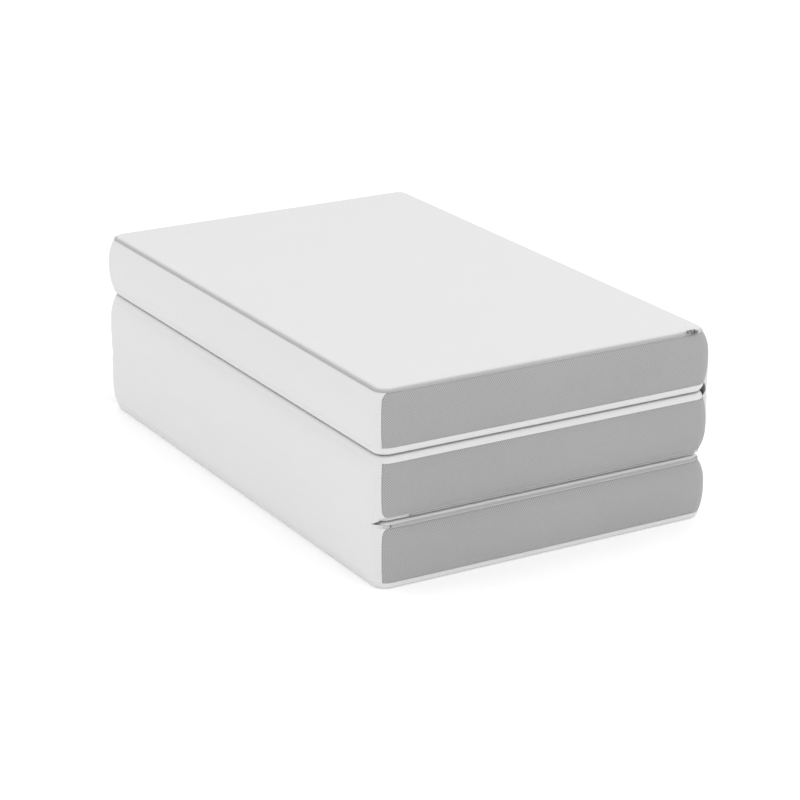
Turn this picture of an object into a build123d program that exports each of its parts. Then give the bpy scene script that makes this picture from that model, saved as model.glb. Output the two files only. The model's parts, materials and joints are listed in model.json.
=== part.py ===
"""Tri-fold memory foam mattress, folded into a stack of three hinged sections.

Millimetres, +Z up. The origin is the centre of the face that the folded stack rests on.
X runs across a section, from fold to fold, and Y runs along the folds.

A section is drawn lying flat with its sleeping face up, its open end at -X and its closed end at
+X, and is then turned into its place in the stack. Its zip runs round three sides of the sleeping
face: both long sides and the open end.
"""

import math
import os

from build123d import *

# Overall sizes
SECTION_WIDTH = 626.0  # X, fold to fold
MATTRESS_WIDTH = 990.0  # Y, along the folds
SECTION_THICKNESS = 106.0  # Z, one section
FOLD_GAP = 3.0  # air between two folded sections
EDGE_RADIUS = 30.0  # soft rounding of the faces' edges
CORNER_RADIUS = EDGE_RADIUS + 3.0  # rounding of the upright corners

# Layers, from the outside in
COVER_THICKNESS = 3.0  # knit fabric over thin wadding
MESH_RECESS = 0.5  # mesh lies this far below the cover's face
LINER_THICKNESS = 0.6
COMFORT_DEPTH = 38.0  # memory foam over the support foam
LAYER_GAP = 0.15  # between two layers
SEAM_GAP = 0.2  # between two panels sewn edge to edge

# Side panels
BASE_TURN_UP = 12.0  # the base fabric turns up this far round the sides
CORNER_WRAP = 12.0  # the end fabric wraps this far round the upright corners
MESH_CORNER_RADIUS = 16.0
TAPE_SHOW = 2.5  # zip tape seen between the coil and the mesh

# Zip
COIL_RADIUS = 1.25
TAPE_RECESS = 1.0
TAPE_THICKNESS = 0.8
STOP_LENGTH = 2.0
STOP_WIDTH = 3.2
STOP_CLEARANCE = 0.1
ZIP_SHORTFALL = {"lower": 0.0, "middle": 34.0, "upper": 0.0}  # coil ends before the corner

# Zip slider and its pull
SLIDER_LENGTH = 10.0
SLIDER_WALL = 1.2
SLIDER_LIFT = 0.3  # over the cover
SLIDER_STOP = 1.0  # left between the slider and the end of the coil
RUN_CLEARANCE = 0.15  # between the slider and the coil
PIN_RADIUS = 0.5
PIN_CLEARANCE = 0.1
EYE_WALL = 0.5
EYE_LENGTH = 3.2
EAR_THICKNESS = 0.9
EAR_CLEARANCE = 0.15
PULL_LENGTH = 15.0
PULL_WIDTH = 6.0
PULL_THICKNESS = 1.0
PULL_NECK = 3.5
PULL_SLOT_LENGTH = 6.0
PULL_SLOT_WIDTH = 2.4
PULL_CLEARANCE = 0.2
HANGING_TURN = 90.0  # degrees, the middle section's pull hangs out from its zip

# Fabric hinges
HINGE_THICKNESS = 1.0
HINGE_LAP = 8.0  # sewn onto the flat of each section's end
HINGE_SHORT = 24.0  # stops this far short of the section at each end
FOLD_CLEARANCE = 0.3  # from the hinge fabric to the fold line, each way

# Worked out from the sizes above
SECTION_PITCH = SECTION_THICKNESS + FOLD_GAP
INNER_INSET = COVER_THICKNESS + LINER_THICKNESS + 2 * LAYER_GAP
COIL_LIFT = COIL_RADIUS + LAYER_GAP - TAPE_RECESS  # coil's middle, proud of the cover
COIL_REACH = EDGE_RADIUS + COIL_LIFT
SLOT_HALF = COIL_RADIUS + SEAM_GAP
SLEEP_EDGE = SECTION_THICKNESS - COVER_THICKNESS - LAYER_GAP  # sleeping panel's lower edge
COIL_HEIGHT = SLEEP_EDGE - SLOT_HALF
END_TOP = COIL_HEIGHT - SLOT_HALF  # upper edge of the end panel beside the zip
COIL_RISE = COIL_HEIGHT - (SECTION_THICKNESS - EDGE_RADIUS)
ZIP_TILT = math.degrees(math.asin(COIL_RISE / COIL_REACH))  # how far the zip faces up
COIL_INSET = EDGE_RADIUS - COIL_REACH * math.cos(math.radians(ZIP_TILT))
MESH_TOP = END_TOP - TAPE_SHOW
WINDOW_HALF = SECTION_WIDTH / 2 - CORNER_WRAP
ROOMY = 2 * (MATTRESS_WIDTH + SECTION_WIDTH)  # longer than anything it cuts


def slab(low, high):
    """All the space between two heights."""
    return Pos(0, 0, (low + high) / 2) * Box(ROOMY, ROOMY, high - low)


def beyond(x, side):
    """All the space past x, towards +X where side is 1 and towards -X where it is -1."""
    return Pos(side * (x + ROOMY / 2), 0, 0) * Box(ROOMY, ROOMY, ROOMY)


def between(half_width):
    """All the space within half_width of the middle, along X."""
    return Box(2 * half_width, ROOMY, ROOMY)


def padded_form(inset):
    """A section's rounded outer form, drawn in by inset on every side."""
    width = SECTION_WIDTH - 2 * inset
    length = MATTRESS_WIDTH - 2 * inset
    height = SECTION_THICKNESS - 2 * inset
    block = Pos(0, 0, SECTION_THICKNESS / 2) * Box(width, length, height)
    block = fillet(block.edges().filter_by(Axis.Z), CORNER_RADIUS - inset)
    levels = block.edges().group_by(Axis.Z)
    return fillet(levels[0] + levels[-1], EDGE_RADIUS - inset)


def layer(depth, thickness):
    """A closed skin of the section, starting at a depth below its outer form."""
    return padded_form(depth) - padded_form(depth + thickness)


def mesh_window(low, grow):
    """The opening for the side mesh, rounded towards the zip, drawn across the long side."""
    high = MESH_TOP + grow
    outline = Rectangle(2 * (WINDOW_HALF + grow), high - low)
    outline = fillet(outline.vertices().group_by(Axis.Y)[-1], MESH_CORNER_RADIUS)
    return Plane.XZ * Pos(0, (low + high) / 2) * outline


def foam_blocks():
    """The support foam and the memory foam glued on it."""
    block = padded_form(INNER_INSET)
    glue_height = SECTION_THICKNESS - INNER_INSET - COMFORT_DEPTH
    return {
        "support_foam": block & slab(0, glue_height),
        "memory_foam": block & slab(glue_height, SECTION_THICKNESS),
    }


def cover_panels(skin):
    """The fabric panels cut from the cover's skin: sleeping face, base and both ends."""
    window = mesh_window(BASE_TURN_UP - SEAM_GAP / 2, SEAM_GAP / 2)
    window = extrude(window, amount=MATTRESS_WIDTH, both=True)
    tape_space = between(WINDOW_HALF + SEAM_GAP / 2) & slab(MESH_TOP, SECTION_THICKNESS)
    ends = (skin & slab(BASE_TURN_UP + SEAM_GAP, SLEEP_EDGE - SEAM_GAP)) - window - tape_space
    inner_reach = WINDOW_HALF - MESH_CORNER_RADIUS
    return {
        "sleep_panel": skin & slab(SLEEP_EDGE, SECTION_THICKNESS),
        "base_panel": skin & slab(0, BASE_TURN_UP),
        "closed_end": ends & beyond(inner_reach, 1),
        "open_end": ends & beyond(inner_reach, -1) & slab(0, END_TOP),
    }


def side_meshes():
    """The spacer mesh let into each long side, cut one side at a time."""
    sheet = layer(MESH_RECESS, COVER_THICKNESS - MESH_RECESS)
    window = mesh_window(BASE_TURN_UP + SEAM_GAP, -SEAM_GAP / 2)
    return [
        (sheet & extrude(window, amount=reach)).solid()
        for reach in (-MATTRESS_WIDTH, MATTRESS_WIDTH)
    ]


def zip_tape():
    """The tape that fills the slot below the sleeping panel on three sides."""
    skin = layer(TAPE_RECESS, TAPE_THICKNESS)
    band = skin & slab(END_TOP + SEAM_GAP, SLEEP_EDGE - SEAM_GAP)
    strips = skin & slab(MESH_TOP + SEAM_GAP, SLEEP_EDGE - SEAM_GAP)
    strips = strips & between(WINDOW_HALF - SEAM_GAP)
    return (band + strips) - beyond(WINDOW_HALF - SEAM_GAP, 1)


def coil_end(shortfall):
    """Where the straight run of the coil ends, near the closed end."""
    return SECTION_WIDTH / 2 - CORNER_RADIUS - shortfall


def zip_coil(shortfall):
    """The closed coil, one round bead along the zip's three sides."""
    end_x = coil_end(shortfall)
    half_x = SECTION_WIDTH / 2 - COIL_INSET
    half_y = MATTRESS_WIDTH / 2 - COIL_INSET
    corners = [(end_x, -half_y), (-half_x, -half_y), (-half_x, half_y), (end_x, half_y)]
    points = [(x, y, COIL_HEIGHT) for x, y in corners]
    path = FilletPolyline(*points, radius=CORNER_RADIUS - COIL_INSET)
    bead = Plane(origin=path @ 0, z_dir=path % 0) * Circle(COIL_RADIUS)
    return sweep(bead, path=path)


def on_zip(piece, x, side):
    """Move a piece drawn about the coil's middle, facing +Z, to the zip on the -Y or +Y side."""
    half_y = MATTRESS_WIDTH / 2 - COIL_INSET
    tilt = Rot(-side * (90 - ZIP_TILT), 0, 0)
    return Pos(x, side * half_y, COIL_HEIGHT) * tilt * piece


def zip_stops(shortfall):
    """The crimped stop past each end of the coil."""
    low = SLIDER_LIFT - COIL_LIFT
    block = Box(STOP_LENGTH, STOP_WIDTH, COIL_RADIUS - low)
    block = fillet(block.edges().filter_by(Axis.Z), STOP_LENGTH / 4)
    block = Pos(0, 0, (COIL_RADIUS + low) / 2) * block
    x = coil_end(shortfall) + STOP_CLEARANCE + STOP_LENGTH / 2
    return Compound([on_zip(block, x, -1), on_zip(block, x, 1)])


def pin_height():
    """Height of the pull's pin over the middle of the coil."""
    plate_top = COIL_RADIUS + RUN_CLEARANCE + SLIDER_WALL
    return plate_top + PULL_CLEARANCE + PIN_RADIUS + PIN_CLEARANCE + EYE_WALL


def across(radius, length, height):
    """A round bar across the zip, along Y, at a height over the coil."""
    return Pos(0, 0, height) * Rot(90, 0, 0) * Cylinder(radius, length)


def zip_slider():
    """The slider that straddles the coil, with two ears and the pin for its pull."""
    groove_half = COIL_RADIUS + RUN_CLEARANCE
    width = 2 * (groove_half + SLIDER_WALL)
    low = SLIDER_LIFT - COIL_LIFT
    high = groove_half + SLIDER_WALL
    shoe = Pos(0, 0, (low + high) / 2) * Box(SLIDER_LENGTH, width, high - low)
    shoe = fillet(shoe.edges().filter_by(Axis.Z), SLIDER_WALL)
    shoe = shoe - Pos(0, 0, groove_half - ROOMY / 2) * Box(ROOMY, 2 * groove_half, ROOMY)
    ear_radius = PIN_RADIUS + PIN_CLEARANCE + EYE_WALL
    ear_y = EYE_LENGTH / 2 + EAR_CLEARANCE + EAR_THICKNESS / 2
    ear_foot = pin_height() - high + SLIDER_WALL / 2
    for side in (-1, 1):
        top = Pos(0, side * ear_y, 0) * across(ear_radius, EAR_THICKNESS, pin_height())
        foot_place = Pos(0, side * ear_y, pin_height() - ear_foot / 2)
        shoe = shoe + top + foot_place * Box(2 * ear_radius, EAR_THICKNESS, ear_foot)
    return shoe + across(PIN_RADIUS, 2 * ear_y, pin_height())


def zip_pull(turn):
    """The pull: an eye round the pin, a neck between the ears and a slotted tab towards -X."""
    eye_bore = PIN_RADIUS + PIN_CLEARANCE
    eye_radius = eye_bore + EYE_WALL
    low = pin_height() - eye_radius
    height = low + PULL_THICKNESS / 2
    tab_length = PULL_LENGTH - PULL_NECK
    tab = Box(tab_length, PULL_WIDTH, PULL_THICKNESS)
    tab = fillet(tab.edges().filter_by(Axis.Z), PULL_WIDTH / 3)
    slot = Box(PULL_SLOT_LENGTH, PULL_SLOT_WIDTH, 2 * PULL_THICKNESS)
    tab = tab - fillet(slot.edges().filter_by(Axis.Z), PULL_SLOT_WIDTH / 3)
    tab = Pos(-PULL_NECK - tab_length / 2, 0, height) * tab
    neck = Box(PULL_NECK + eye_bore, EYE_LENGTH, PULL_THICKNESS)
    neck = Pos(-(PULL_NECK + eye_bore) / 2, 0, height) * neck
    pull = across(eye_radius, EYE_LENGTH, pin_height()) + neck + tab
    pull = pull - across(eye_bore, 2 * EYE_LENGTH, pin_height())
    return Pos(0, 0, pin_height()) * Rot(0, turn, 0) * Pos(0, 0, -pin_height()) * pull


def place_in_stack(level):
    """How each section is turned and lifted into the folded stack."""
    return {
        "lower": Rot(0, 0, 180),
        "middle": Pos(0, 0, SECTION_PITCH + SECTION_THICKNESS) * Rot(0, 180, 0),
        "upper": Pos(0, 0, 2 * SECTION_PITCH),
    }[level]


def end_side(piece):
    return "left" if piece.center().X < 0 else "right"


def long_side(piece):
    return "front" if piece.center().Y < 0 else "back"


def save(name, piece):
    export_step(piece, f"parts/{name}.step")


def build_section(level, skin, liner, foams):
    """All the pieces of one section, each saved in its own node."""
    place = place_in_stack(level)
    shortfall = ZIP_SHORTFALL[level]
    panels = cover_panels(skin)
    for name, piece in foams.items():
        save(f"{level}_{name}", place * piece)
    save(f"{level}_foam_liner", place * liner)
    for name in ("sleep_panel", "base_panel"):
        save(f"{level}_{name}", place * panels[name])
    for name in ("closed_end", "open_end"):
        piece = place * panels[name]
        save(f"{level}_end_panel_{end_side(piece)}", piece)
    for mesh in side_meshes():
        piece = place * mesh
        save(f"{level}_mesh_{long_side(piece)}", piece)
    save(f"{level}_zip_tape", place * zip_tape())
    save(f"{level}_zip_coil", place * zip_coil(shortfall))
    save(f"{level}_zip_stops", place * zip_stops(shortfall))
    zip_side = 1 if level == "middle" else -1
    parked_x = coil_end(shortfall) - SLIDER_STOP - SLIDER_LENGTH / 2
    turn = HANGING_TURN if level == "middle" else 0
    save(f"{level}_zip_slider", place * on_zip(zip_slider(), parked_x, zip_side))
    save(f"{level}_zip_pull", place * on_zip(zip_pull(turn), parked_x, zip_side))


def hinge_half(side, fold_height, way):
    """Half of a fabric hinge, from its lap on a section's end to just short of the fold line."""
    near = fold_height + way * FOLD_CLEARANCE
    far = fold_height + way * (FOLD_GAP / 2 + EDGE_RADIUS + HINGE_LAP)
    x = side * (SECTION_WIDTH / 2 + LAYER_GAP + HINGE_THICKNESS / 2)
    length = MATTRESS_WIDTH - 2 * HINGE_SHORT
    strip = Box(HINGE_THICKNESS, length, abs(far - near))
    return Pos(x, 0, (near + far) / 2) * strip


def build_hinges():
    """The fabric that joins lower to middle at -X, and middle to upper at +X."""
    low_fold = SECTION_THICKNESS + FOLD_GAP / 2
    high_fold = low_fold + SECTION_PITCH
    save("lower_hinge_left", hinge_half(-1, low_fold, -1))
    save("middle_hinge_left", hinge_half(-1, low_fold, 1))
    save("middle_hinge_right", hinge_half(1, high_fold, -1))
    save("upper_hinge_right", hinge_half(1, high_fold, 1))


os.makedirs("parts", exist_ok=True)
cover_skin = layer(0, COVER_THICKNESS)
liner_skin = layer(COVER_THICKNESS + LAYER_GAP, LINER_THICKNESS)
foam_pair = foam_blocks()
for section_level in ("lower", "middle", "upper"):
    build_section(section_level, cover_skin, liner_skin, foam_pair)
build_hinges()
print("hinge lines at x", SECTION_WIDTH / 2 + LAYER_GAP + HINGE_THICKNESS + FOLD_CLEARANCE)
print("coil inset and height", round(COIL_INSET, 4), round(COIL_HEIGHT, 4))
print("zip tilt", round(ZIP_TILT, 4))
print("pin height over the coil", round(pin_height(), 3))
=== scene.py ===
"""Soft covers, foam, zips and studio for a folding memory foam mattress stored as a stack.

Metres, in the frame's own axes: X from fold to fold, Y along the folds, Z up. A section is drawn
lying flat with its sleeping face up, its open end at -X and its closed end at +X, and is then
turned into its place in the stack.
"""

import json
import math

import bpy
import numpy as np
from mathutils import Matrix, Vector
from mathutils.kdtree import KDTree


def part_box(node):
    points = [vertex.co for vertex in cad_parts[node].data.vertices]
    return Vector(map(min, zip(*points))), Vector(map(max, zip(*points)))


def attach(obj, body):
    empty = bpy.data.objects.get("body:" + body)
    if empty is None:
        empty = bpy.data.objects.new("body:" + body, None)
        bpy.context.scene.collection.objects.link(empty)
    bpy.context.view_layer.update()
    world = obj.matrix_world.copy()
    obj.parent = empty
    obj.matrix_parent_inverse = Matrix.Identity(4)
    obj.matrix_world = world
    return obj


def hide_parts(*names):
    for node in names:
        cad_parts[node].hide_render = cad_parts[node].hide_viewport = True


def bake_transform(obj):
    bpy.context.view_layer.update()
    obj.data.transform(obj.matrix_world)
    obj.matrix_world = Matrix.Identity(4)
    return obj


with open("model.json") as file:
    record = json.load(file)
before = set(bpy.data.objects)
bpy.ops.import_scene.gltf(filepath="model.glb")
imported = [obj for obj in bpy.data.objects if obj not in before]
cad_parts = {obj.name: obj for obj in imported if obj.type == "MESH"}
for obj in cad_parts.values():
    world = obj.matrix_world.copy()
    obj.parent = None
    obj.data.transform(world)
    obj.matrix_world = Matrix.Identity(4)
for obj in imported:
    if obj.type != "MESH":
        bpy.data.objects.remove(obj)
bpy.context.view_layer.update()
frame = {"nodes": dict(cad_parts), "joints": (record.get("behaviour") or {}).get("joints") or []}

bl_info = {
    "name": "Folding Foam Mattress",
    "version": (1, 0, 0),
    "blender": (4, 5, 0),
    "location": "3D View > Sidebar > Mattress",
    "description": "Builds the covers, foam, hinges and zips of a folding foam mattress",
    "category": "Add Mesh",
}

LEVELS = ("lower", "middle", "upper")
END_WIDTH = float(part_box("upper_end_panel_left")[0][0])
MESH_FRONT = float(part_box("upper_mesh_front")[0][1])
SLEEP_TOP = float(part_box("lower_sleep_panel")[1][2])
MIDDLE_LOW = float(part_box("middle_sleep_panel")[0][2])


class MattressSizes(bpy.types.PropertyGroup):
    """Sizes of the mattress that a user may change."""

    section_width: bpy.props.FloatProperty(
        name="Section Width", description="From fold to fold", default=-2 * END_WIDTH, unit="LENGTH"
    )
    mattress_width: bpy.props.FloatProperty(
        name="Mattress Width",
        description="Along the folds",
        default=2 * (0.0005 - MESH_FRONT),
        unit="LENGTH",
    )
    thickness: bpy.props.FloatProperty(
        name="Section Thickness",
        description="From the base to the sleeping face",
        default=SLEEP_TOP,
        unit="LENGTH",
    )
    fold_gap: bpy.props.FloatProperty(
        name="Fold Gap",
        description="Air between two folded sections",
        default=MIDDLE_LOW - SLEEP_TOP,
        unit="LENGTH",
    )
    corner_radius: bpy.props.FloatProperty(
        name="Corner Radius", description="Of the upright corners", default=0.033, unit="LENGTH"
    )
    edge_inset: bpy.props.FloatProperty(
        name="Edge Inset",
        description="How far the soft rounding of an edge reaches inwards",
        default=0.0145,
        unit="LENGTH",
    )
    base_inset: bpy.props.FloatProperty(
        name="Base Inset",
        description="How far the tighter rounding of a base edge reaches inwards",
        default=0.0075,
        unit="LENGTH",
    )
    edge_drop: bpy.props.FloatProperty(
        name="Edge Drop",
        description="How far the soft rounding of an edge reaches down the side",
        default=0.040,
        unit="LENGTH",
    )
    side_bulge: bpy.props.FloatProperty(
        name="Side Bulge",
        description="How far the middle of a side stands proud of its edges",
        default=0.006,
        unit="LENGTH",
    )
    cover_thickness: bpy.props.FloatProperty(
        name="Cover Thickness", description="Knit and its wadding", default=0.0026, unit="LENGTH"
    )
    cloth_thickness: bpy.props.FloatProperty(
        name="Cloth Thickness", description="Hinge cloth", default=0.0012, unit="LENGTH"
    )
    seam_tuck: bpy.props.FloatProperty(
        name="Seam Tuck", description="How deep a seam draws in", default=0.0010, unit="LENGTH"
    )
    swell: bpy.props.FloatProperty(
        name="Swell", description="Room the padding swells into", default=0.0025, unit="LENGTH"
    )
    tooth_pitch: bpy.props.FloatProperty(
        name="Tooth Pitch", description="Of the zip's coil", default=0.0018, unit="LENGTH"
    )


class MattressColours(bpy.types.PropertyGroup):
    """Colours of the mattress that a user may change."""

    white_knit: bpy.props.FloatVectorProperty(
        name="White Knit", description="Sleeping faces", default=(0.70, 0.70, 0.70), subtype="COLOR"
    )
    base_cloth: bpy.props.FloatVectorProperty(
        name="Base Cloth",
        description="Base, ends and hinges",
        default=(0.695, 0.695, 0.695),
        subtype="COLOR",
    )
    mesh_yarn: bpy.props.FloatVectorProperty(
        name="Mesh Yarn", description="Yarn of the sides", default=(0.45, 0.45, 0.45), subtype="COLOR"
    )
    mesh_hole: bpy.props.FloatVectorProperty(
        name="Mesh Hole",
        description="Between the yarns of the sides",
        default=(0.235, 0.235, 0.235),
        subtype="COLOR",
    )
    zip_tape: bpy.props.FloatVectorProperty(
        name="Zip Tape", description="Woven tape", default=(0.58, 0.58, 0.58), subtype="COLOR"
    )
    zip_coil: bpy.props.FloatVectorProperty(
        name="Zip Coil", description="Nylon coil", default=(0.43, 0.43, 0.43), subtype="COLOR"
    )
    metal: bpy.props.FloatVectorProperty(
        name="Metal", description="Slider, pull and stops", default=(0.20, 0.20, 0.21), subtype="COLOR"
    )
    support_foam: bpy.props.FloatVectorProperty(
        name="Support Foam", description="Lower foam", default=(0.80, 0.77, 0.68), subtype="COLOR"
    )
    memory_foam: bpy.props.FloatVectorProperty(
        name="Memory Foam", description="Upper foam", default=(0.86, 0.83, 0.74), subtype="COLOR"
    )
    liner: bpy.props.FloatVectorProperty(
        name="Liner", description="Cloth round the foam", default=(0.78, 0.78, 0.77), subtype="COLOR"
    )
    floor: bpy.props.FloatVectorProperty(
        name="Floor", description="Studio floor", default=(1.0, 1.0, 1.0), subtype="COLOR"
    )


# Depths below the sleeping face of the lines that the cover is cut along
SLEEP_RIM = 0.0018
SLOT_MIDDLE = 0.0040
SLOT_LOW = 0.0058
MESH_TOP = 0.0066
TURN_UP = {"lower": 0.0100, "middle": 0.0086, "upper": 0.0120}  # base cloth's edge above the base
MESH_CORNER = 0.0125  # rounding of a mesh panel's corners beside the zip
COIL_INSET = 0.0133
COIL_DEPTH = 0.0046
ZIP_LEAN = math.radians(48)
COIL_SHORTFALL = {"lower": 0.0, "middle": 0.034, "upper": 0.0}
GLUE_DEPTH = 0.0419  # memory foam above, support foam below
# Degrees round an upright corner where a mesh panel stops and where a fold's slit ends
CORNER_TURNS = {"left": (39.5, 74.0), "right": (54.0, 63.0)}
CLOSED_END = {"lower": "left", "middle": "left", "upper": "right"}


class SectionForm:
    """The soft outer form of one section, as points by distance round it and depth below its top."""

    def __init__(self, sizes):
        self.half_x = sizes.section_width / 2
        self.half_y = sizes.mattress_width / 2
        self.height = sizes.thickness
        self.radius = sizes.corner_radius
        self.edge_inset = sizes.edge_inset
        self.base_inset = sizes.base_inset
        self.edge_drop = sizes.edge_drop
        self.bulge = sizes.side_bulge
        self.flat_x = self.half_x - self.radius
        self.flat_y = self.half_y - self.radius
        self.arc = self.radius * math.pi / 2
        self.round = 4 * (self.flat_x + self.flat_y + self.arc)

    def outline(self, s):
        """Plan points and outward directions at distances s from the middle of the -Y side."""
        quarter = self.flat_x + self.arc
        s = np.mod(np.asarray(s, float) + self.round / 2, self.round) - self.round / 2
        side = np.where(s < 0, -1.0, 1.0)
        t = np.abs(s)
        turned = np.clip((t - self.flat_x) / self.arc, 0, 1) * math.pi / 2
        far = quarter + 2 * self.flat_y
        turned_far = np.clip((t - far) / self.arc, 0, 1) * math.pi / 2
        turn = turned + turned_far
        nx, ny = np.sin(turn), -np.cos(turn)
        x = np.where(t < quarter, np.minimum(t, self.flat_x), self.flat_x)
        x = np.where(t > far + self.arc, self.flat_x - (t - far - self.arc), x)
        y = np.clip(t - quarter - self.flat_y, -self.flat_y, self.flat_y)
        return np.stack([side * (x + self.radius * nx), y + self.radius * ny], -1), np.stack(
            [side * nx, ny], -1
        )

    def inset(self, depth):
        """How far the side lies in from the widest outline, at a depth below either face."""
        depth = np.asarray(depth, float)
        rolled = np.where(depth > self.height / 2, self.base_inset, self.edge_inset)
        depth = np.minimum(depth, self.height - depth)
        fall = np.clip(1 - depth / self.edge_drop, 0, 1)
        edge = rolled * (1 - np.sqrt(1 - fall**2))
        half = self.height / 2
        return edge + self.bulge * (1 - depth / half) ** 2

    def point(self, s, inset, depth):
        """Points of the form, at distances round it, insets and depths."""
        plan, outward = self.outline(s)
        plan = plan - outward * np.asarray(inset)[..., None]
        z = self.height - np.broadcast_to(depth, plan.shape[:-1])
        return np.concatenate([plan, z[..., None]], -1)


class SkinGrid:
    """Columns round a section and rows down it that every cover panel is cut from."""

    def __init__(self, form, level):
        self.form = form
        self.across, self.along = 46, 74
        closed = CLOSED_END[level]
        opened = "right" if closed == "left" else "left"
        degree = form.arc / 90
        self.edge_s, self.slit_s = {}, {}
        halves = {}
        for way, end in ((1, closed), (-1, opened)):
            edge, slit = CORNER_TURNS[end]
            turns = sorted([0, 8, 16, 24, edge - 9, edge - 4, edge, edge + 4, slit, 80, 85]
                           + list(np.linspace(edge + 4, slit, 5)[1:-1]))
            halves[way] = self.half_round(turns, degree)
            self.edge_s[way] = form.flat_x + edge * degree
            self.slit_s[way] = form.flat_x + slit * degree
        self.s = np.concatenate([-halves[-1][:0:-1], halves[1]])[1:]
        corner = [MESH_TOP + MESH_CORNER * (1 - math.sin(math.radians(a))) for a in range(78, -1, -13)]
        top = [0, 0.0001, 0.0003, 0.0007, SLEEP_RIM, 0.0024, SLOT_MIDDLE, SLOT_LOW]
        middle = [0.0245, 0.0305, 0.0385, 0.046, 0.053, 0.060, 0.068, 0.0755, 0.0830, 0.0885]
        turn_up = TURN_UP[level]
        bottom = [turn_up + 0.0025, turn_up]
        bottom += list(turn_up * np.array([0.72, 0.48, 0.29, 0.15, 0.065, 0.02, 0.0]))
        self.turn_up = form.height - turn_up
        self.depth = np.array(top + [MESH_TOP] + corner + middle + [form.height - z for z in bottom])

    def half_round(self, turns, degree):
        """Distances from the middle of the -Y side to the middle of the +Y side."""
        form = self.form
        side = [form.flat_x * (2 * k / self.across) for k in range(self.across // 2)]
        side += [form.flat_x + turn * degree for turn in turns]
        start = form.flat_x + form.arc
        side += [start + form.flat_y * (2 * k / self.along) for k in range(self.along)]
        far = start + 2 * form.flat_y
        side += [far + (90 - turn) * degree for turn in [90] + turns[:0:-1]]
        side += [far + form.arc + form.flat_x * (2 * k / self.across) for k in range(self.across // 2)]
        return np.array(side + [form.round / 2])

    def row(self, depth):
        return int(np.argmin(np.abs(self.depth - depth)))

    def columns(self, low, high):
        """Column indices from a distance low to high round the section, ends included."""
        low_k = int(np.argmin(np.abs(self.s - low)))
        high_k = int(np.argmin(np.abs(self.s - high)))
        count = (high_k - low_k) % len(self.s)
        return [(low_k + k) % len(self.s) for k in range(count + 1)]

    def bent(self, s, depth):
        """Columns bent inwards round the top corners of the mesh panels."""
        drop = np.clip((MESH_TOP + MESH_CORNER - depth) / MESH_CORNER, 0, 1)
        shift = np.where(depth >= MESH_TOP - 1e-6, MESH_CORNER * (1 - np.sqrt(1 - drop**2)), 0.0)
        moved = np.abs(s)
        for way in (1, -1):
            near, far = self.edge_s[way], self.form.round / 2 - self.edge_s[way]
            for edge, inward in ((near, -1), (far, 1)):
                known = sorted([(edge + inward * 0.060, 0.0), (edge, inward), (edge - inward * 0.010, 0.0)])
                bend = np.interp(np.abs(s), [k[0] for k in known], [k[1] for k in known])
                moved = moved + np.where(s * way >= 0, shift * bend, 0.0)
        return np.where(s < 0, -moved, moved)

    def end_span(self, way):
        """Distances round the section where an end's cloth starts and stops, across +X or -X."""
        near, far = self.edge_s[way], self.form.round / 2 - self.edge_s[way]
        return (near, far) if way > 0 else (-far, -near)

    def side_span(self, back):
        """Distances round the section where a long side's mesh starts and stops."""
        if back:
            return self.end_span(1)[1], self.end_span(-1)[0]
        return self.end_span(-1)[1], self.end_span(1)[0]

    def skin(self, columns, rows):
        """Points of a block of the skin, rows by columns."""
        s = self.s[columns][None, :]
        depth = self.depth[rows][:, None]
        s = self.bent(np.broadcast_to(s, (len(rows), len(columns))), depth)
        return self.form.point(s, np.broadcast_to(self.form.inset(depth), s.shape), depth)


def grid_faces(rows, columns, closed=False, start=0):
    """Quads of a block of rows by columns."""
    quads = []
    last = columns if closed else columns - 1
    for j in range(rows - 1):
        for i in range(last):
            k = (i + 1) % columns
            quads.append(
                (start + j * columns + i, start + (j + 1) * columns + i,
                 start + (j + 1) * columns + k, start + j * columns + k)
            )
    return quads


def joined(parts, weld=1e-6):
    """One surface from several (points, faces), with matching points welded."""
    points = np.concatenate([np.asarray(p, float).reshape(-1, 3) for p, _ in parts])
    faces, start = [], 0
    for part_points, part_faces in parts:
        faces += [tuple(k + start for k in face) for face in part_faces]
        start += len(np.asarray(part_points).reshape(-1, 3))
    keys = np.round(points / weld).astype(np.int64)
    _, first, back = np.unique(keys, axis=0, return_index=True, return_inverse=True)
    back = back.reshape(-1)
    clean = []
    for face in faces:
        ring = [int(back[k]) for k in face]
        ring = [k for n, k in enumerate(ring) if k != ring[n - 1]]
        if len(set(ring)) >= 3:
            clean.append(tuple(ring))
    return points[first], clean


def face_cap(grid, inset, depth, up):
    """The flat middle of a face, with rings from an inset to the corners' centres."""
    form = grid.form
    columns = list(range(len(grid.s)))
    steps = np.linspace(inset, form.radius, 4)
    rings = np.stack([form.point(grid.s, np.full(len(grid.s), step), depth) for step in steps])
    faces = grid_faces(len(steps), len(columns), closed=True)
    xs = np.linspace(-form.flat_x, form.flat_x, grid.across + 1)
    ys = np.linspace(-form.flat_y, form.flat_y, grid.along + 1)
    field = np.zeros((len(ys), len(xs), 3))
    field[..., 0], field[..., 1], field[..., 2] = xs[None, :], ys[:, None], form.height - depth
    inner = grid_faces(len(ys), len(xs))
    if up:
        return (rings, [face[::-1] for face in faces]), (field, [face[::-1] for face in inner])
    return (rings, faces), (field, inner)


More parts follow.
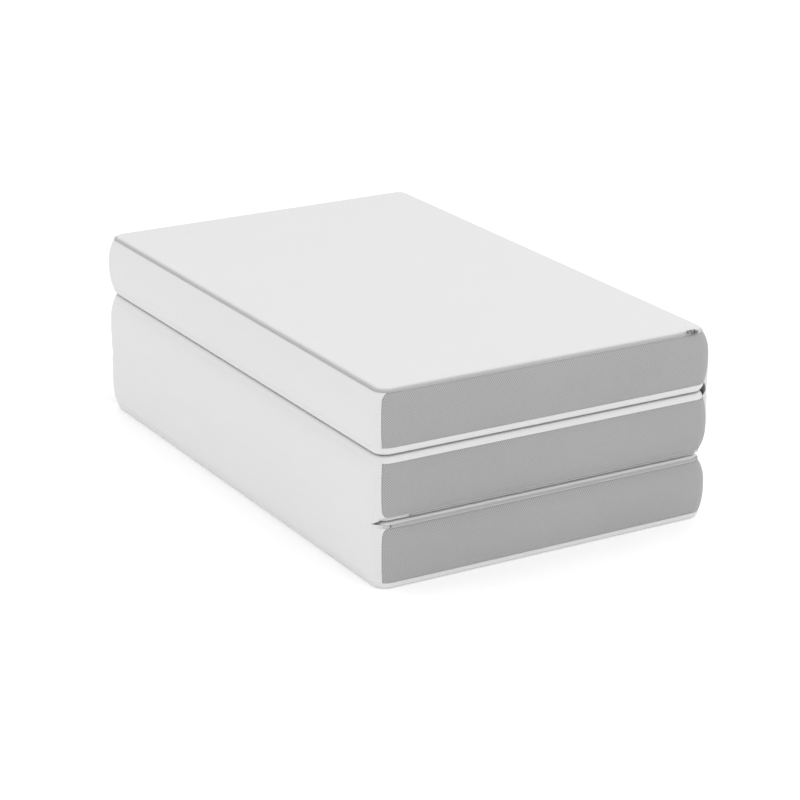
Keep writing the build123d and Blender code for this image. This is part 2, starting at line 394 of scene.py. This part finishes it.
def point_normals(points, faces):
    """Unit directions of a surface at its points."""
    total = np.zeros_like(points)
    for size in (3, 4):
        ring = np.array([f for f in faces if len(f) == size], int)
        if not len(ring):
            continue
        if size == 3:
            cross = np.cross(points[ring[:, 1]] - points[ring[:, 0]], points[ring[:, 2]] - points[ring[:, 0]])
        else:
            cross = np.cross(points[ring[:, 2]] - points[ring[:, 0]], points[ring[:, 3]] - points[ring[:, 1]])
        for k in range(size):
            np.add.at(total, ring[:, k], cross)
    return total / np.maximum(np.linalg.norm(total, axis=1, keepdims=True), 1e-12)


def open_edges(faces):
    """Directed edges that only one face uses."""
    seen = {}
    for face in faces:
        for a, b in zip(face, face[1:] + face[:1]):
            seen[(a, b)] = True
    return [(a, b) for a, b in seen if (b, a) not in seen]


def tucked(points, faces, normals, depth, width=0.0035):
    """Draw a surface's open edges in, as a seam does."""
    edge = open_edges(faces)
    rim = {k for pair in edge for k in pair}
    sink = np.zeros(len(points))
    for face in faces:
        for a, b in zip(face, face[1:] + face[:1]):
            for near, far in ((a, b), (b, a)):
                if near in rim and far not in rim:
                    gap = float(np.linalg.norm(points[near] - points[far]))
                    sink[far] = max(sink[far], max(0.0, 1 - gap / width) ** 2)
    sink[list(rim)] = 1.0
    return points - normals * (sink * depth)[:, None]


def thickened(points, faces, normals, thickness):
    """A closed shell from a surface, grown inwards."""
    count = len(points)
    inner = points - normals * thickness
    walls = [(b, a, a + count, b + count) for a, b in open_edges(faces)]
    back = [tuple(k + count for k in face[::-1]) for face in faces]
    return np.concatenate([points, inner]), faces + back + walls


def in_stack(points, level, sizes):
    """Turn and lift a section's points into the stack."""
    moved = np.array(points, float)
    pitch = sizes.thickness + sizes.fold_gap
    if level == "lower":
        moved[..., :2] *= -1
    elif level == "middle":
        moved[..., 0] *= -1
        moved[..., 2] = pitch + sizes.thickness - moved[..., 2]
    else:
        moved[..., 2] += 2 * pitch
    return moved


def new_piece(name, points, faces, material, smooth=True):
    """A mesh object in the scene, from points and faces."""
    mesh = bpy.data.meshes.new(name)
    mesh.from_pydata(np.asarray(points).tolist(), [], [list(face) for face in faces])
    mesh.validate()
    mesh.polygons.foreach_set("use_smooth", [smooth] * len(mesh.polygons))
    mesh.set_sharp_from_angle(angle=math.radians(50))
    mesh.materials.append(material)
    mesh.update()
    piece = bpy.data.objects.new(name, mesh)
    bpy.context.scene.collection.objects.link(piece)
    return piece


class Padding:
    """How a stuffed pad of the section's form swells, worked out once by a cloth simulation."""

    cap = 0.0045

    def __init__(self, grid, sizes):
        self.room = sizes.swell
        self.tree = None
        points, faces = closed_form(grid, 0.0)
        normals = point_normals(points, faces)
        pad = new_piece("padding_study", points - normals * self.room, faces, None)
        pad.data.materials.clear()
        remesh = pad.modifiers.new("even", "REMESH")
        remesh.mode, remesh.voxel_size = "VOXEL", 0.010
        bpy.context.view_layer.objects.active = pad
        bpy.ops.object.modifier_apply(modifier=remesh.name)
        before = np.array([v.co for v in pad.data.vertices])
        outward = np.array([v.normal for v in pad.data.vertices])
        held = pad.vertex_groups.new(name="held")
        rests = np.clip((np.abs(outward[:, 2]) - 0.75) / 0.2, 0, 1)
        for k in np.nonzero(rests > 0.01)[0]:
            top = before[k, 2] > grid.form.height / 2
            held.add([int(k)], float(rests[k]) * (0.6 if top else 1.0), "REPLACE")
        cloth = pad.modifiers.new("stuffing", "CLOTH")
        cloth.settings.vertex_group_mass = held.name
        cloth.settings.use_pressure = True
        cloth.settings.uniform_pressure_force = 4.0
        cloth.settings.tension_stiffness = 25
        cloth.settings.compression_stiffness = 25
        cloth.settings.bending_stiffness = 2.0
        cloth.settings.quality = 4
        cloth.settings.effector_weights.gravity = 0
        cloth.point_cache.frame_start, cloth.point_cache.frame_end = 1, 20
        scene = bpy.context.scene
        for number in range(1, 21):
            scene.frame_set(number)
            bpy.context.view_layer.update()
        shaped = pad.evaluated_get(bpy.context.evaluated_depsgraph_get()).to_mesh()
        after = np.array([v.co for v in shaped.vertices])
        scene.frame_set(1)
        growth = np.clip(((after - before) * outward).sum(1), 0, self.cap)
        bpy.data.objects.remove(pad, do_unlink=True)
        for _ in range(2):
            growth = smoothed(before, growth, 0.03)
        side = 1 - np.clip((np.abs(outward[:, 2]) - 0.55) / 0.35, 0, 1)
        top = np.clip((outward[:, 2] - 0.8) / 0.2, 0, 1)
        level = np.median(growth[side > 0.9])
        shift = side * np.clip(growth - level, -0.0018, 0.0005)
        crown = top * np.clip(growth / self.cap, 0, 1) * 0.0009
        self.shift = (shift + crown)[:, None] * outward
        self.tree = KDTree(len(before))
        for k, place in enumerate(before):
            self.tree.insert(place, k)
        self.tree.balance()

    def swollen(self, points):
        """Points moved as the stuffed pad moves."""
        if self.tree is None:
            return points
        flat = np.asarray(points, float).reshape(-1, 3)
        moved = np.empty_like(flat)
        for n, place in enumerate(flat):
            near = self.tree.find_n(place, 5)
            weight = np.array([1 / (gap + 0.003) ** 2 for _, _, gap in near])
            shift = self.shift[[k for _, k, _ in near]]
            moved[n] = place + (shift * weight[:, None]).sum(0) / weight.sum()
        return moved.reshape(np.asarray(points).shape)


def smoothed(places, values, reach):
    """Values evened out over neighbours within reach."""
    tree = KDTree(len(places))
    for k, place in enumerate(places):
        tree.insert(place, k)
    tree.balance()
    out = np.empty_like(values)
    for k, place in enumerate(places):
        out[k] = values[[n for _, n, _ in tree.find_n(place, 12)]].mean()
    return out


def closed_form(grid, offset, low=None, high=None):
    """A whole closed form of the section, or a slice of it, drawn in by an offset."""
    form = grid.form
    rows = list(range(len(grid.depth)))
    columns = list(range(len(grid.s)))
    skin = form.point(
        np.broadcast_to(grid.s[None, :], (len(rows), len(columns))),
        np.broadcast_to(form.inset(grid.depth)[:, None], (len(rows), len(columns))),
        grid.depth[:, None],
    )
    faces = grid_faces(len(rows), len(columns), closed=True)
    top = face_cap(grid, float(form.inset(0.0)), 0.0, True)
    bottom = face_cap(grid, float(form.inset(form.height)), form.height, False)
    points, faces = joined([(skin, faces), *top, *bottom])
    if offset:
        points = points - point_normals(points, faces) * offset
    if low is not None:
        points[:, 2] = np.clip(points[:, 2], low, high)
        points, faces = joined([(points, faces)])
    return points, faces


# ---------------------------------------------------------------- materials


class Wire:
    """A socket of a material's nodes, with arithmetic that adds the nodes it needs."""

    def __init__(self, weave, socket):
        self.weave, self.socket = weave, socket

    def maths(self, operation, *others):
        values = dict(enumerate((self,) + others))
        return self.weave.node("ShaderNodeMath", {"operation": operation}, values)

    def __add__(self, other):
        return self.maths("ADD", other)

    def __mul__(self, other):
        return self.maths("MULTIPLY", other)

    def __sub__(self, other):
        return self.maths("SUBTRACT", other)

    def __truediv__(self, other):
        return self.maths("DIVIDE", other)

    __radd__, __rmul__ = __add__, __mul__

    def __rsub__(self, other):
        return self.weave.node("ShaderNodeMath", {"operation": "SUBTRACT"}, {0: other, 1: self})


class Weave:
    """A material under construction."""

    def __init__(self, name):
        self.material = bpy.data.materials.new(name)
        self.material.use_nodes = True
        self.tree = self.material.node_tree
        self.shader = self.tree.nodes["Principled BSDF"]

    def node(self, kind, settings=None, inputs=None, output=0):
        """Any node, from its type, settings and the values or links of its sockets."""
        node = self.tree.nodes.new(kind)
        for name, value in (settings or {}).items():
            if name == "stops":
                for stop, (place, colour) in zip(node.color_ramp.elements, value):
                    stop.position, stop.color = place, colour
            else:
                setattr(node, name, value)
        for name, value in (inputs or {}).items():
            if isinstance(value, Wire):
                self.tree.links.new(value.socket, node.inputs[name])
            else:
                node.inputs[name].default_value = value
        return Wire(self, node.outputs[output])

    def place(self, scale=1.0):
        """Object coordinates as a vector, scaled."""
        spot = self.node("ShaderNodeTexCoord", output="Object")
        return self.node("ShaderNodeVectorMath", {"operation": "SCALE"}, {0: spot, "Scale": scale})

    def parts(self, vector):
        """The three parts of a vector."""
        split = self.node("ShaderNodeSeparateXYZ", None, {0: vector})
        return [Wire(self, split.socket.node.outputs[k]) for k in range(3)]

    def vector(self, x, y, z):
        return self.node("ShaderNodeCombineXYZ", None, {0: x, 1: y, 2: z})

    def noise(self, vector, scale, detail=2.0, rough=0.5):
        inputs = {"Vector": vector, "Scale": scale, "Detail": detail, "Roughness": rough}
        return self.node("ShaderNodeTexNoise", None, inputs)

    def blend(self, mask, first, second):
        """Two colours mixed by a mask."""
        settings = {"data_type": "RGBA"}
        first = first if isinstance(first, Wire) else (*first[:3], 1.0)
        second = second if isinstance(second, Wire) else (*second[:3], 1.0)
        return self.node("ShaderNodeMix", settings, {0: mask, 6: first, 7: second}, output=2)

    def ramp(self, value, low, high):
        """A value eased from 0 at low to 1 at high."""
        inputs = {"Value": value, "From Min": low, "From Max": high}
        return self.node("ShaderNodeMapRange", {"interpolation_type": "SMOOTHSTEP"}, inputs)

    def finish(self, colour, roughness, height=None, strength=0.3, distance=0.001, **constants):
        """Link what varies and set what does not."""
        for name, value in (("Base Color", colour), ("Roughness", roughness)):
            if isinstance(value, Wire):
                self.tree.links.new(value.socket, self.shader.inputs[name])
            else:
                self.shader.inputs[name].default_value = value
        if height is not None:
            inputs = {"Height": height, "Strength": strength, "Distance": distance}
            bump = self.node("ShaderNodeBump", None, inputs)
            self.tree.links.new(bump.socket, self.shader.inputs["Normal"])
        for name, value in constants.items():
            self.shader.inputs[name.replace("_", " ").title().replace("Ior", "IOR")].default_value = value
        return self.material


def shade(colour, factor):
    return tuple(min(1.0, channel * factor) for channel in colour[:3])


def knit(name, colour, wale, course):
    """A fine weft knit: rows of loops, read from the side that faces out."""
    weave = Weave(name)
    spot = weave.place(1.0)
    x, y, z = weave.parts(spot)
    facing = weave.node("ShaderNodeTexCoord", output="Normal")
    nx, ny, nz = weave.parts(facing)
    flat = weave.ramp(nz.maths("ABSOLUTE"), 0.55, 0.75)
    long_side = weave.ramp(ny.maths("ABSOLUTE"), 0.55, 0.80)
    along = x * flat + (1 - flat) * (x * long_side + y * (1 - long_side))
    down = y * flat + z * (1 - flat)
    column = (along * (1 / wale)).maths("PINGPONG", 1.0)
    lean = column * 0.55
    course_wave = (down * (1 / course) + lean).maths("FRACT")
    loop = weave.ramp((course_wave - 0.5).maths("ABSOLUTE"), 0.08, 0.42)
    ridge = weave.ramp((column - 0.5).maths("ABSOLUTE"), 0.05, 0.45)
    drift = weave.noise(weave.place(1.0), 9.0, 3.0)
    height = (1 - loop) * 0.6 + ridge * 0.4
    tone = (1 - loop) * 0.45 + ridge * 0.25 + drift * 0.30
    cloth = weave.blend(tone, shade(colour, 0.965), shade(colour, 1.03))
    rough = 0.82 + drift * 0.12
    return weave.finish(
        cloth, rough, height, 0.35, 0.0003, sheen_weight=0.15, sheen_roughness=0.6, specular_ior_level=0.25
    )


def spacer_mesh(name, yarn, hole):
    """Spacer mesh: a lattice of yarn with small diamond holes."""
    weave = Weave(name)
    x, y, z = weave.parts(weave.place(1.0))
    pitch = 0.0040
    first = ((x + z) * (1 / pitch)).maths("FRACT")
    second = ((x - z) * (1 / pitch)).maths("FRACT")
    away = (first - 0.5).maths("ABSOLUTE").maths("MAXIMUM", (second - 0.5).maths("ABSOLUTE"))
    strand = weave.ramp(away, 0.24, 0.40)
    fibre = weave.noise(weave.place(1.0), 900.0, 2.0)
    drift = weave.noise(weave.place(1.0), 7.0, 2.0)
    tone = strand * 0.72 + fibre * 0.12 + drift * 0.16
    cloth = weave.blend(tone, hole, yarn)
    height = strand * 0.85 + fibre * 0.15
    return weave.finish(cloth, 0.78 + fibre * 0.14, height, 0.5, 0.0006, sheen_weight=0.1, specular_ior_level=0.3)


def plain_weave(name, colour, pitch):
    """A close plain weave, for tape and lining."""
    weave = Weave(name)
    x, y, z = weave.parts(weave.place(2 * math.pi / pitch))
    over = (x + y).maths("SINE") * (y + z).maths("SINE")
    fibre = weave.noise(weave.place(1.0), 600.0, 2.0)
    tone = over * 0.25 + fibre * 0.5 + 0.25
    cloth = weave.blend(tone, shade(colour, 0.88), shade(colour, 1.10))
    return weave.finish(cloth, 0.75 + fibre * 0.15, over * 0.5 + fibre * 0.5, 0.4, 0.0003, specular_ior_level=0.3)


def nylon(name, colour):
    """Drawn nylon wire."""
    weave = Weave(name)
    grain = weave.noise(weave.place(1.0), 500.0, 2.0)
    tint = weave.blend(grain, shade(colour, 0.9), shade(colour, 1.1))
    return weave.finish(tint, 0.38 + grain * 0.15, grain, 0.1, 0.0002)


def painted_metal(name, colour):
    """Die-cast metal with a worn satin coat."""
    weave = Weave(name)
    wear = weave.noise(weave.place(1.0), 260.0, 4.0, 0.6)
    scratch = weave.noise(weave.node("ShaderNodeVectorMath", {"operation": "MULTIPLY"}, {0: weave.place(1.0), 1: (60.0, 900.0, 900.0)}), 1.0, 2.0)
    worn = weave.ramp(wear, 0.58, 0.72)
    tint = weave.blend(worn, colour, shade(colour, 1.15))
    rough = 0.32 + scratch * 0.18 + worn * 0.08
    return weave.finish(tint, rough, scratch, 0.08, 0.0001, metallic=0.85)


def foam(name, colour, cell):
    """Open-cell foam."""
    weave = Weave(name)
    spot = weave.place(1.0)
    cells = weave.node("ShaderNodeTexVoronoi", {"feature": "F1"}, {"Vector": spot, "Scale": 1 / cell})
    drift = weave.noise(spot, 22.0, 4.0)
    tone = cells * 0.5 + drift * 0.5
    body = weave.blend(tone, shade(colour, 0.82), shade(colour, 1.08))
    return weave.finish(body, 0.88 + drift * 0.1, cells * -1.0, 0.5, 0.0008, specular_ior_level=0.2)


def non_woven(name, colour):
    """Pressed fibre cloth with a dotted bond."""
    weave = Weave(name)
    x, y, z = weave.parts(weave.place(2 * math.pi / 0.0022))
    dots = x.maths("SINE") * y.maths("SINE") * (z.maths("COSINE") * 0.4 + 0.6)
    fibre = weave.noise(weave.place(1.0), 350.0, 4.0, 0.7)
    tone = fibre * 0.7 + dots * 0.2 + 0.1
    cloth = weave.blend(tone, shade(colour, 0.9), shade(colour, 1.06))
    return weave.finish(cloth, 0.85 + fibre * 0.1, dots * 0.4 + fibre * 0.6, 0.3, 0.0003)


def material(name):
    """A finish by its slot's name, made on first use."""
    found = bpy.data.materials.get("finish_" + name)
    if found:
        return found
    colours = bpy.context.scene.mattress_colours
    title = "finish_" + name
    makers = {
        "white_knit": lambda: knit(title, colours.white_knit, 0.0011, 0.0009),
        "white_base_cloth": lambda: knit(title, colours.base_cloth, 0.0009, 0.0008),
        "grey_mesh": lambda: spacer_mesh(title, colours.mesh_yarn, colours.mesh_hole),
        "grey_zip_tape": lambda: plain_weave(title, colours.zip_tape, 0.0010),
        "grey_zip_coil": lambda: nylon(title, colours.zip_coil),
        "zip_metal": lambda: painted_metal(title, colours.metal),
        "support_foam": lambda: foam(title, colours.support_foam, 0.0022),
        "memory_foam": lambda: foam(title, colours.memory_foam, 0.0012),
        "foam_liner": lambda: non_woven(title, colours.liner),
    }
    return makers[name]()


# ---------------------------------------------------------------- shared steps


class Workshop:
    """The form, grid and padding that all the pieces share, made on first use."""

    kept = {}

    @classmethod
    def tools(cls):
        if not cls.kept:
            sizes = bpy.context.scene.mattress_sizes
            form = SectionForm(sizes)
            grids = {level: SkinGrid(form, level) for level in LEVELS}
            cls.kept = {"sizes": sizes, "grids": grids, "padding": Padding(grids["upper"], sizes)}
        return cls.kept["sizes"], cls.kept["grids"], cls.kept["padding"]


def panel(name, level, parts, thickness, slot, nodes, tuck=None, sink=0.0):
    """A sewn cover panel: a closed shell cut from the swollen skin."""
    sizes, grids, padding = Workshop.tools()
    points, faces = joined(parts)
    points = padding.swollen(points)
    normals = point_normals(points, faces)
    if sink:
        points = points - normals * sink
    points = tucked(points, faces, normals, sizes.seam_tuck if tuck is None else tuck)
    points, faces = thickened(points, faces, normals, thickness)
    points = in_stack(points, level, sizes)
    piece = new_piece(name, points, faces, material(slot))
    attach(piece, level + "_section")
    if nodes:
        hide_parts(*nodes)
    return piece


def block(grid, low, high, top, bottom):
    """A block of the skin between two distances round it and two depths."""
    columns = grid.columns(low, high)
    rows = list(range(grid.row(top), grid.row(bottom) + 1))
    return grid.skin(columns, rows), grid_faces(len(rows), len(columns))


def band(grid, top, bottom):
    """A band of the skin all the way round, between two depths."""
    rows = list(range(grid.row(top), grid.row(bottom) + 1))
    columns = list(range(len(grid.s)))
    return grid.skin(columns, rows), grid_faces(len(rows), len(columns), closed=True)


# ---------------------------------------------------------------- operators


class MATTRESS_OT_foams(bpy.types.Operator):
    """Make the support foam, memory foam and liner of each section"""

    bl_idname = "mattress.foams"
    bl_label = "Foam and Liner"

    def execute(self, context):
        sizes, grids, padding = Workshop.tools()
        glue = sizes.thickness - GLUE_DEPTH
        for level in LEVELS:
            grid = grids[level]
            for name, low, high, offset in (
                ("support_foam", 0.0, glue - 0.0001, 0.0044),
                ("memory_foam", glue + 0.0001, sizes.thickness, 0.0044),
                ("foam_liner", None, None, 0.0034),
            ):
                points, faces = closed_form(grid, offset, low, high)
                if name == "foam_liner":
                    normals = point_normals(points, faces)
                    points, faces = thickened(points, faces, normals, 0.0006)
                piece = new_piece(
                    f"{level}_{name}_block" if name != "foam_liner" else f"{level}_liner_bag",
                    in_stack(points, level, sizes), faces, material(name),
                )
                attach(piece, level + "_section")
                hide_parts(f"{level}_{name}")
        return {"FINISHED"}


class MATTRESS_OT_faces(bpy.types.Operator):
    """Make the padded sleeping panel and the base cloth of each section"""

    bl_idname = "mattress.faces"
    bl_label = "Sleeping Panels and Bases"

    def execute(self, context):
        sizes, grids, padding = Workshop.tools()
        for level in LEVELS:
            grid, form = grids[level], grids[level].form
            inset = float(form.inset(0.0))
            top = face_cap(grid, inset, 0.0, True)
            piece = panel(
                level + "_sleeping_face", level, [band(grid, 0.0, SLEEP_RIM), *top],
                sizes.cover_thickness, "white_knit", [level + "_sleep_panel"],
            )
            bottom = face_cap(grid, float(form.inset(form.height)), form.height, False)
            panel(
                level + "_base_cloth", level,
                [band(grid, grid.turn_up, form.height), *bottom],
                sizes.cover_thickness, "white_base_cloth", [level + "_base_panel"], tuck=0.0004,
            )
        return {"FINISHED"}


class MATTRESS_OT_meshes(bpy.types.Operator):
    """Make the grey spacer mesh in the long sides"""

    bl_idname = "mattress.meshes"
    bl_label = "Side Meshes"

    def execute(self, context):
        sizes, grids, padding = Workshop.tools()
        for level in LEVELS:
            grid = grids[level]
            for back in (False, True):
                side = "back" if back != (level == "lower") else "front"
                part = block(grid, *grid.side_span(back), MESH_TOP, grid.turn_up)
                panel(
                    f"{level}_spacer_mesh_{side}", level, [part],
                    0.0022, "grey_mesh", [f"{level}_mesh_{side}"], sink=0.0004,
                )
        return {"FINISHED"}


class MATTRESS_OT_ends(bpy.types.Operator):
    """Make the white end panels: two that show and four under the hinge cloths"""

    bl_idname = "mattress.ends"
    bl_label = "End Panels"

    def execute(self, context):
        sizes, grids, padding = Workshop.tools()
        for level in LEVELS:
            grid = grids[level]
            closed_side = CLOSED_END[level]
            open_side = "right" if closed_side == "left" else "left"
            closed = block(grid, *grid.end_span(1), SLEEP_RIM, grid.turn_up)
            opened = block(grid, *grid.end_span(-1), SLOT_LOW, grid.turn_up)
            for side, part, covered in (
                (closed_side, closed, True),
                (open_side, opened, level == "middle"),
            ):
                panel(
                    f"{level}_end_cloth_{side}", level, [part],
                    0.0012 if covered else sizes.cover_thickness,
                    "white_base_cloth", [f"{level}_end_panel_{side}"],
                    tuck=0.0006, sink=0.0014 if covered else 0.0,
                )
        return {"FINISHED"}


def fold_share(grid, s, way):
    """How far a column belongs to the fold: 1 between the slits, falling to 0 past them."""
    near, far = grid.slit_s[way], grid.form.round / 2 - grid.slit_s[way]
    room = 0.85 * (grid.slit_s[way] - grid.edge_s[way])
    share = np.clip(1 - np.maximum(np.abs(s) - far, near - np.abs(s)) / room, 0, 1)
    return share**2 * (3 - 2 * share)


def half_wrap(grid, way, top, fold_at_top, padding, half_gap):
    """Half of a hinge cloth on one section, running on to the fold line between the slits."""
    form = grid.form
    columns = grid.columns(*grid.end_span(way))
    rows = list(range(grid.row(top), grid.row(grid.turn_up) + 1))
    sewn = padding.swollen(grid.skin(columns, rows))
    depth = grid.depth[rows]
    reach = depth if fold_at_top else form.height - depth
    rim, half = reach.min(), form.height / 2
    stretched = (reach - rim) * (half + half_gap) / (half - rim) - half_gap
    taut_reach = np.where(reach < half, stretched, reach)
    taut = 0.0011 + 0.0009 * np.exp(-(((taut_reach + half_gap) / 0.009) ** 2))
    taut_depth = taut_reach if fold_at_top else form.height - taut_reach
    own = form.inset(np.clip(taut_depth, 0.0, form.height))
    inset = np.where(reach < half, np.minimum(own, taut), own)
    s = np.broadcast_to(grid.s[columns][None, :], (len(rows), len(columns)))
    taut_points = form.point(s, np.broadcast_to(inset[:, None], s.shape), taut_depth[:, None])
    near = np.clip((half - reach) / (0.4 * half), 0, 1)
    share = fold_share(grid, s, way)[..., None] * (near**2 * (3 - 2 * near))[:, None, None]
    return sewn * (1 - share) + taut_points * share, grid_faces(len(rows), len(columns))


class MATTRESS_OT_hinges(bpy.types.Operator):
    """Make the two hinge cloths that run over the folds"""

    bl_idname = "mattress.hinges"
    bl_label = "Hinge Cloths"

    def execute(self, context):
        sizes, grids, padding = Workshop.tools()
        joints = {joint["name"]: joint for joint in frame["joints"]}
        plans = (
            ("left_hinge_cloth", "fold_left",
             ("lower", 1, SLEEP_RIM, True), ("middle", 1, SLEEP_RIM, True),
             ["lower_hinge_left", "middle_hinge_left"]),
            ("right_hinge_cloth", "fold_right",
             ("middle", -1, SLOT_LOW, False), ("upper", 1, SLEEP_RIM, False),
             ["middle_hinge_right", "upper_hinge_right"]),
        )
        for name, joint_name, first, second, nodes in plans:
            parts = []
            for level, way, top, at_top in (first, second):
                half_gap = sizes.fold_gap / 2
                points, faces = half_wrap(grids[level], way, top, at_top, padding, half_gap)
                parts.append((in_stack(points, level, sizes), faces))
            points, faces = joined(parts, weld=2e-5)
            normals = point_normals(points, faces)
            points = tucked(points, faces, normals, 0.0006)
            points, faces = thickened(points, faces, normals, sizes.cloth_thickness)
            piece = new_piece(name, points, faces, material("white_base_cloth"))
            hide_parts(*nodes)
            start, stop = grids[first[0]].end_span(first[1])
            drops = [grids[level].turn_up - top for level, way, top, at_top in (first, second)]
            stop - start
            sum(drops) + sizes.fold_gap
            first[0] + "_base_cloth"
            second[0] + "_base_cloth"
            x, y, z = joints[joint_name]["pos_m"]
            first[0] + "_section"
            second[0] + "_section"
            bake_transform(piece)
        return {"FINISHED"}


class MATTRESS_OT_zips(bpy.types.Operator):
    """Make the zip tape and coil of each section"""

    bl_idname = "mattress.zips"
    bl_label = "Zip Tapes and Coils"

    def execute(self, context):
        sizes, grids, padding = Workshop.tools()
        for level in LEVELS:
            grid = grids[level]
            parts = [
                block(grid, grid.form.round / 2 - grid.slit_s[1], grid.slit_s[1], SLEEP_RIM, SLOT_LOW),
                block(grid, *grid.side_span(False), SLOT_LOW, MESH_TOP),
                block(grid, *grid.side_span(True), SLOT_LOW, MESH_TOP),
            ]
            panel(
                level + "_zip_ribbon", level, parts, 0.0008, "grey_zip_tape",
                [level + "_zip_tape"], tuck=0.0004, sink=0.0011,
            )
            points, faces = self.coil(grid, padding, sizes, COIL_SHORTFALL[level])
            piece = new_piece(
                level + "_coil", in_stack(points, level, sizes), faces, material("grey_zip_coil")
            )
            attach(piece, level + "_section")
            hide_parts(level + "_zip_coil")
        return {"FINISHED"}

    def coil(self, grid, padding, sizes, shortfall):
        """Two rows of loops that meet along the middle, swept along the zip's three sides."""
        form = grid.form
        start = form.flat_x - shortfall
        run = start + form.flat_x + form.arc + 2 * form.flat_y + form.arc + form.flat_x + start
        steps = int(run / (sizes.tooth_pitch / 4))
        travelled = np.linspace(0, run, steps + 1)
        s = start - travelled
        middle = form.point(s, np.full(len(s), COIL_INSET), COIL_DEPTH)
        _, outward = form.outline(s)
        lean = np.array([math.cos(ZIP_LEAN), math.sin(ZIP_LEAN)])
        up = np.concatenate([outward * lean[0], np.full((len(s), 1), lean[1])], 1)
        down = np.concatenate([outward * lean[1], np.full((len(s), 1), -lean[0])], 1)
        middle = middle + up * 0.0003
        phase = travelled / sizes.tooth_pitch * 2 * math.pi
        ring = []
        for turn in range(10):
            angle = 2 * math.pi * turn / 10
            across, rise = math.cos(angle), math.sin(angle)
            wave = 0.5 + 0.5 * np.cos(phase + (0 if across > 0 else math.pi))
            swell = 0.72 + 0.28 * wave
            dip = 0.55 if abs(across) < 0.35 and rise > 0 else 1.0
            ring.append(
                middle + down * (across * 0.00120 * (0.85 + 0.15 * wave))[:, None]
                + up * (rise * 0.00080 * swell * dip)[:, None]
            )
        points = np.stack(ring, 1)
        count = len(s)
        faces = []
        for j in range(count - 1):
            for k in range(10):
                n = (k + 1) % 10
                faces.append((j * 10 + k, j * 10 + n, (j + 1) * 10 + n, (j + 1) * 10 + k))
        faces.append(tuple(range(9, -1, -1)))
        faces.append(tuple((count - 1) * 10 + k for k in range(10)))
        return points.reshape(-1, 3), faces


class MATTRESS_OT_hardware(bpy.types.Operator):
    """Give the sliders, pulls and stops their metal"""

    bl_idname = "mattress.hardware"
    bl_label = "Sliders, Pulls and Stops"

    def execute(self, context):
        for level in LEVELS:
            for name in ("zip_slider", "zip_pull", "zip_stops"):
                node = frame["nodes"][f"{level}_{name}"]
                for place in node.material_slots:
                    place.material = material("zip_metal")
        return {"FINISHED"}


class MATTRESS_OT_stage(bpy.types.Operator):
    """Set the pale floor, the soft studio light and the camera"""

    bl_idname = "mattress.stage"
    bl_label = "Studio"

    def execute(self, context):
        scene = context.scene
        weave = Weave("finish_floor")
        drift = weave.noise(weave.place(1.0), 0.6, 2.0)
        colour = scene.mattress_colours.floor
        paper = weave.blend(drift, shade(colour, 0.99), colour)
        weave.finish(paper, 0.9, None, specular_ior_level=0.0)
        for node in weave.material.node_tree.nodes:
            if node.type == "BSDF_PRINCIPLED":
                node.inputs["Emission Color"].default_value = (1.0, 1.0, 1.0, 1.0)
                node.inputs["Emission Strength"].default_value = 0.08
        size = 30.0
        points = [(x * size, y * size, 0.0) for y in (-1, 1) for x in (-1, 1)]
        floor = new_piece("studio_floor", points, [(0, 1, 3, 2)], weave.material)
        world = bpy.data.worlds.new("studio_light")
        world.use_nodes = True
        sky = world.node_tree.nodes["Background"]
        sky.inputs["Color"].default_value = (1.0, 1.0, 1.0, 1.0)
        sky.inputs["Strength"].default_value = 1.07
        scene.world = world
        lamp = bpy.data.lights.new("soft_key", "AREA")
        lamp.shape, lamp.size, lamp.energy = "DISK", 3.0, 14.0
        key = bpy.data.objects.new("soft_key", lamp)
        key.location = (1.3, -1.3, 3.3)
        key.rotation_euler = (Vector((0, 0, 0.15)) - key.location).to_track_quat("-Z", "Y").to_euler()
        scene.collection.objects.link(key)
        scene.view_settings.view_transform = "Standard"
        lens = bpy.data.cameras.new("studio_camera")
        lens.sensor_width, lens.lens = 36.0, 119.56
        lens.clip_end = 100
        camera = bpy.data.objects.new("studio_camera", lens)
        camera.location = (-2.1386, -3.7097, 1.6337)
        camera.rotation_euler = (math.radians(90 - 19.636), 0, math.radians(-30.135))
        scene.collection.objects.link(camera)
        scene.camera = camera
        return {"FINISHED"}


class MATTRESS_PT_panel(bpy.types.Panel):
    """Sidebar panel that lists the mattress's pieces"""

    bl_idname = "MATTRESS_PT_panel"
    bl_label = "Folding Mattress"
    bl_space_type = "VIEW_3D"
    bl_region_type = "UI"
    bl_category = "Mattress"

    def draw(self, context):
        layout = self.layout
        for group in (context.scene.mattress_sizes, context.scene.mattress_colours):
            box = layout.box()
            for name in group.__annotations__:
                box.prop(group, name)
        for step in STEPS:
            layout.operator(step.bl_idname)


STEPS = (
    MATTRESS_OT_stage,
    MATTRESS_OT_foams,
    MATTRESS_OT_faces,
    MATTRESS_OT_meshes,
    MATTRESS_OT_ends,
    MATTRESS_OT_hinges,
    MATTRESS_OT_zips,
    MATTRESS_OT_hardware,
)
CLASSES = (MattressSizes, MattressColours, *STEPS, MATTRESS_PT_panel)


def register():
    for each in CLASSES:
        bpy.utils.register_class(each)
    bpy.types.Scene.mattress_sizes = bpy.props.PointerProperty(type=MattressSizes)
    bpy.types.Scene.mattress_colours = bpy.props.PointerProperty(type=MattressColours)


def unregister():
    del bpy.types.Scene.mattress_colours
    del bpy.types.Scene.mattress_sizes
    for each in reversed(CLASSES):
        bpy.utils.unregister_class(each)


def main():
    register()
    for step in STEPS:
        getattr(bpy.ops.mattress, step.bl_idname.split(".")[1])()


if __name__ == "__main__":
    main()
